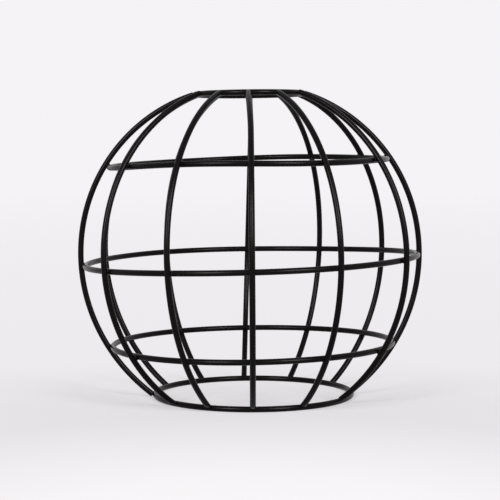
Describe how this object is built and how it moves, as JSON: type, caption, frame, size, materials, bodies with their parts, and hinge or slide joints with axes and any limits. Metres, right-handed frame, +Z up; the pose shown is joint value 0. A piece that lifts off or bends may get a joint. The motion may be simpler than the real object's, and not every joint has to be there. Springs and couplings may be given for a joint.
{
  "type": "wire globe lampshade",
  "caption": "Open globe lampshade of black round iron wire: curved upright ribs welded to level rings, with a small round mouth on top and a wider one below.",
  "frame": {"origin": "the foot of the globe's axis, on the surface that the shade stands on", "axes": "+Z up along the globe's axis; -Y towards the front, the side seen in the picture; +X to the right"},
  "size_m": [0.2516, 0.2522, 0.2232],
  "materials": {
    "black_wire": "satin black powder coat on round iron wire"
  },
  "bodies": {
    "root": {"top_ring": "black_wire", "upper_ring": "black_wire", "middle_ring": "black_wire", "lower_ring": "black_wire", "bottom_ring": "black_wire", "rib_01": "black_wire", "rib_02": "black_wire", "rib_03": "black_wire", "rib_04": "black_wire", "rib_05": "black_wire", "rib_06": "black_wire", "rib_07": "black_wire", "rib_08": "black_wire", "rib_09": "black_wire", "rib_10": "black_wire", "rib_11": "black_wire", "rib_12": "black_wire"}
  },
  "joints": []
}
